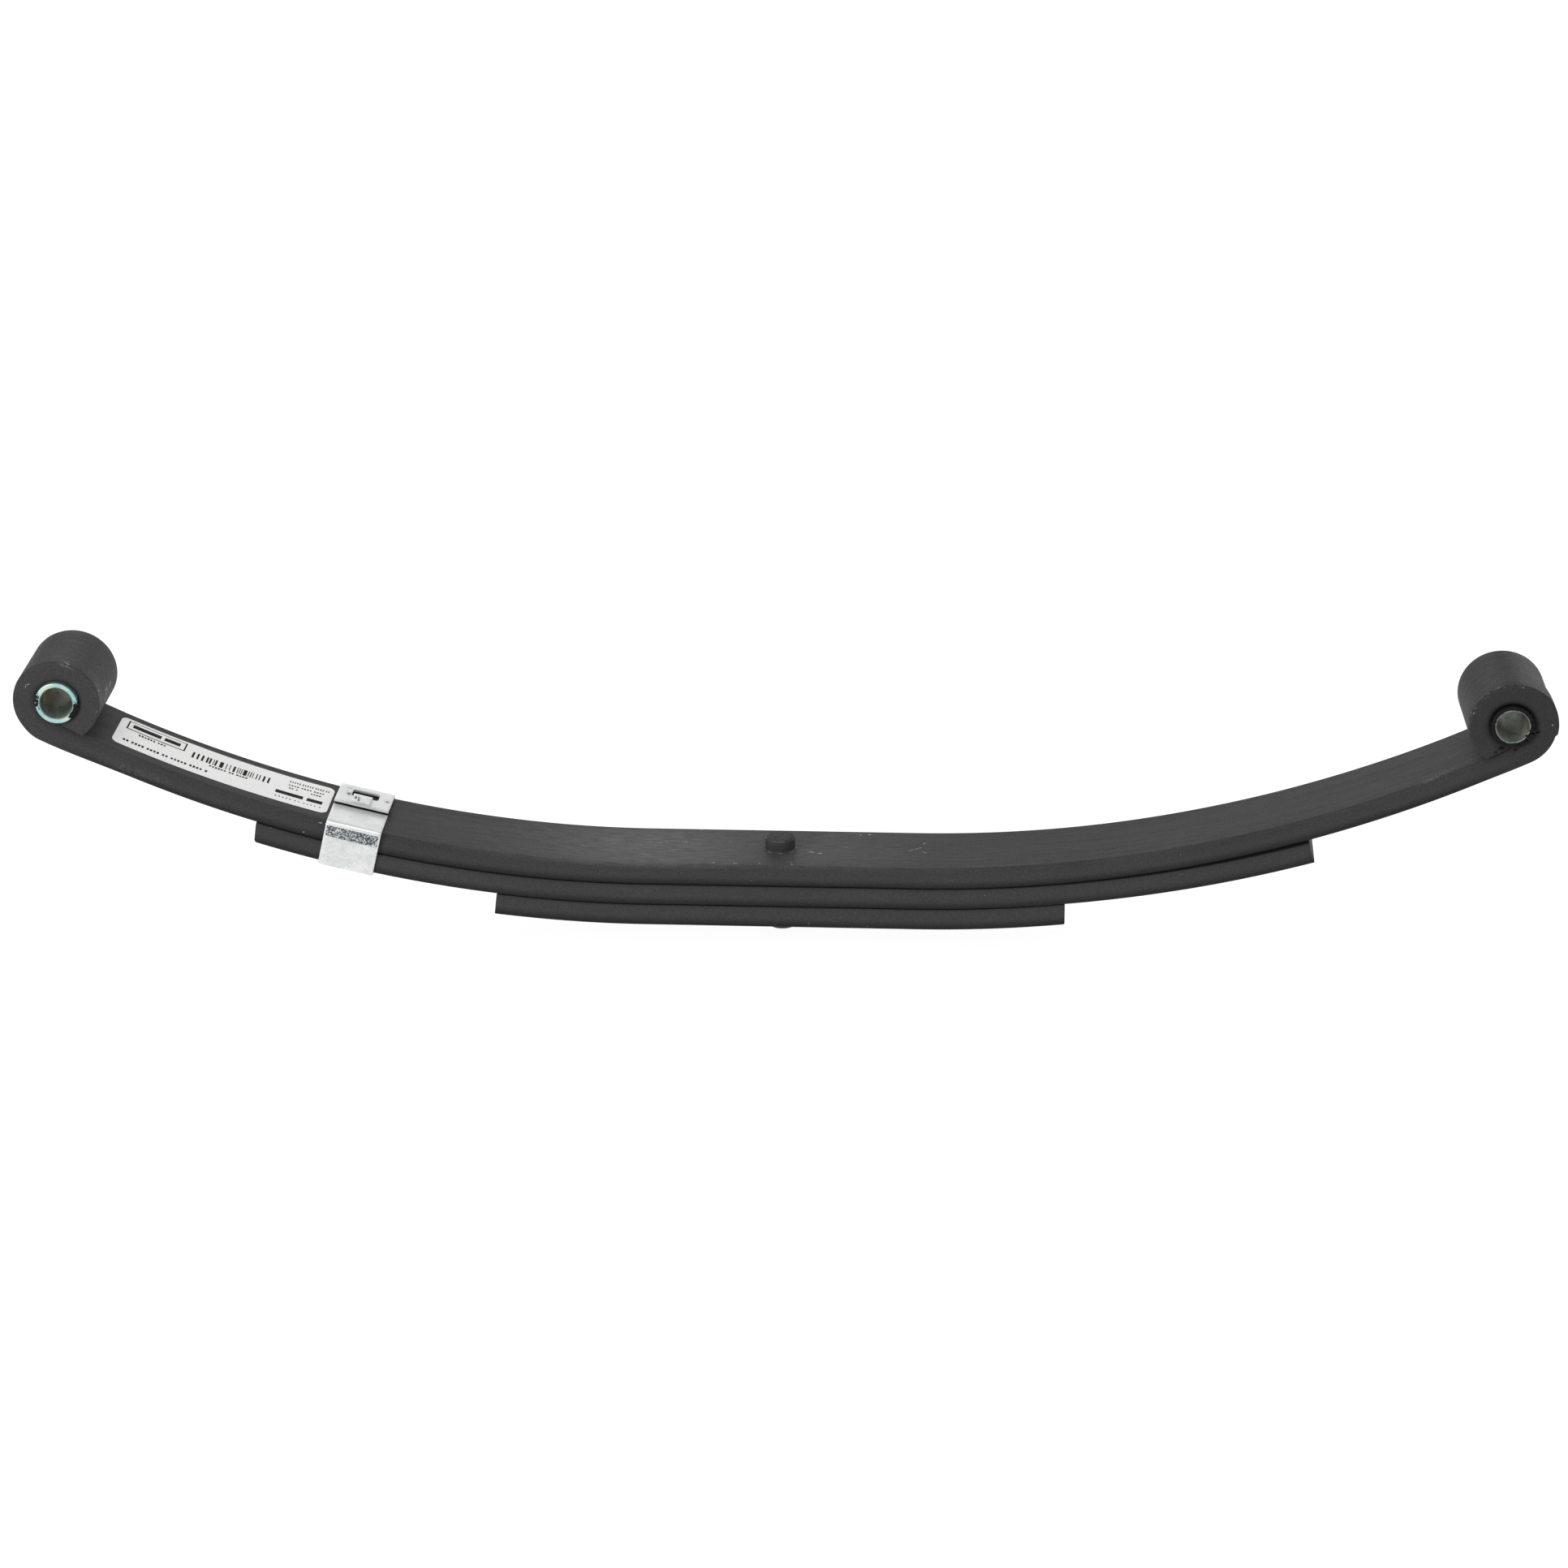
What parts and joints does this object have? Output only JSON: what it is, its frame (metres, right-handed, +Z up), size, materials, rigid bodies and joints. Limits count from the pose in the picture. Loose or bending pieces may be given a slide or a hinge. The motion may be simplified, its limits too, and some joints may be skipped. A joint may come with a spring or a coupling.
{
  "type": "leaf spring",
  "caption": "Double-eye semi-elliptic trailer leaf spring with stacked leaves, steel-lined eyes, a centre bolt and a rebound clip; its arms flex under load.",
  "frame": {"origin": "on the centre bolt's axis, on the upper (seat) face of the main leaf", "axes": "+X along the spring away from the rebound clip, +Y across the leaves, +Z up towards the eyes"},
  "size_m": [0.6794, 0.0476, 0.1292],
  "materials": {
    "black_paint": "satin black paint over spring steel",
    "zinc_plate": "pale blue-green zinc plating",
    "galvanised": "bright galvanised strip with spangle",
    "label_film": "white printed film"
  },
  "bodies": {
    "leaf_pack": {"main_leaf": "black_paint", "second_leaf": "black_paint", "third_leaf": "black_paint", "center_bolt": "black_paint", "center_nut": "black_paint", "label": "label_film"},
    "left_eye": {"left_bushing": "zinc_plate"},
    "right_eye": {"right_bushing": "zinc_plate"},
    "clip": {"rebound_clip": "galvanised"}
  },
  "joints": [
    {"name": "left_flex", "type": "hinge", "parent": "leaf_pack", "child": "left_eye", "pos_m": [-0.06, 0, -0.00475], "axis": [0, -1, 0], "range_deg": [-2, 11], "stiffness_Nm_per_rad": 6800, "deforming": ["main_leaf", "second_leaf", "third_leaf", "label"]},
    {"name": "right_flex", "type": "hinge", "parent": "leaf_pack", "child": "right_eye", "pos_m": [0.06, 0, -0.00475], "axis": [0, 1, 0], "range_deg": [-2, 11], "stiffness_Nm_per_rad": 6800, "deforming": ["main_leaf", "second_leaf", "third_leaf"]},
    {"name": "clip_follow", "type": "hinge", "parent": "leaf_pack", "child": "clip", "pos_m": [-0.1372, 0, -0.00194], "axis": [0, -1, 0], "range_deg": [-2.8, 15.3]}
  ],
  "couplings": [
    {"joint": "clip_follow", "follows": "left_flex", "ratio": 1.3836}
  ]
}
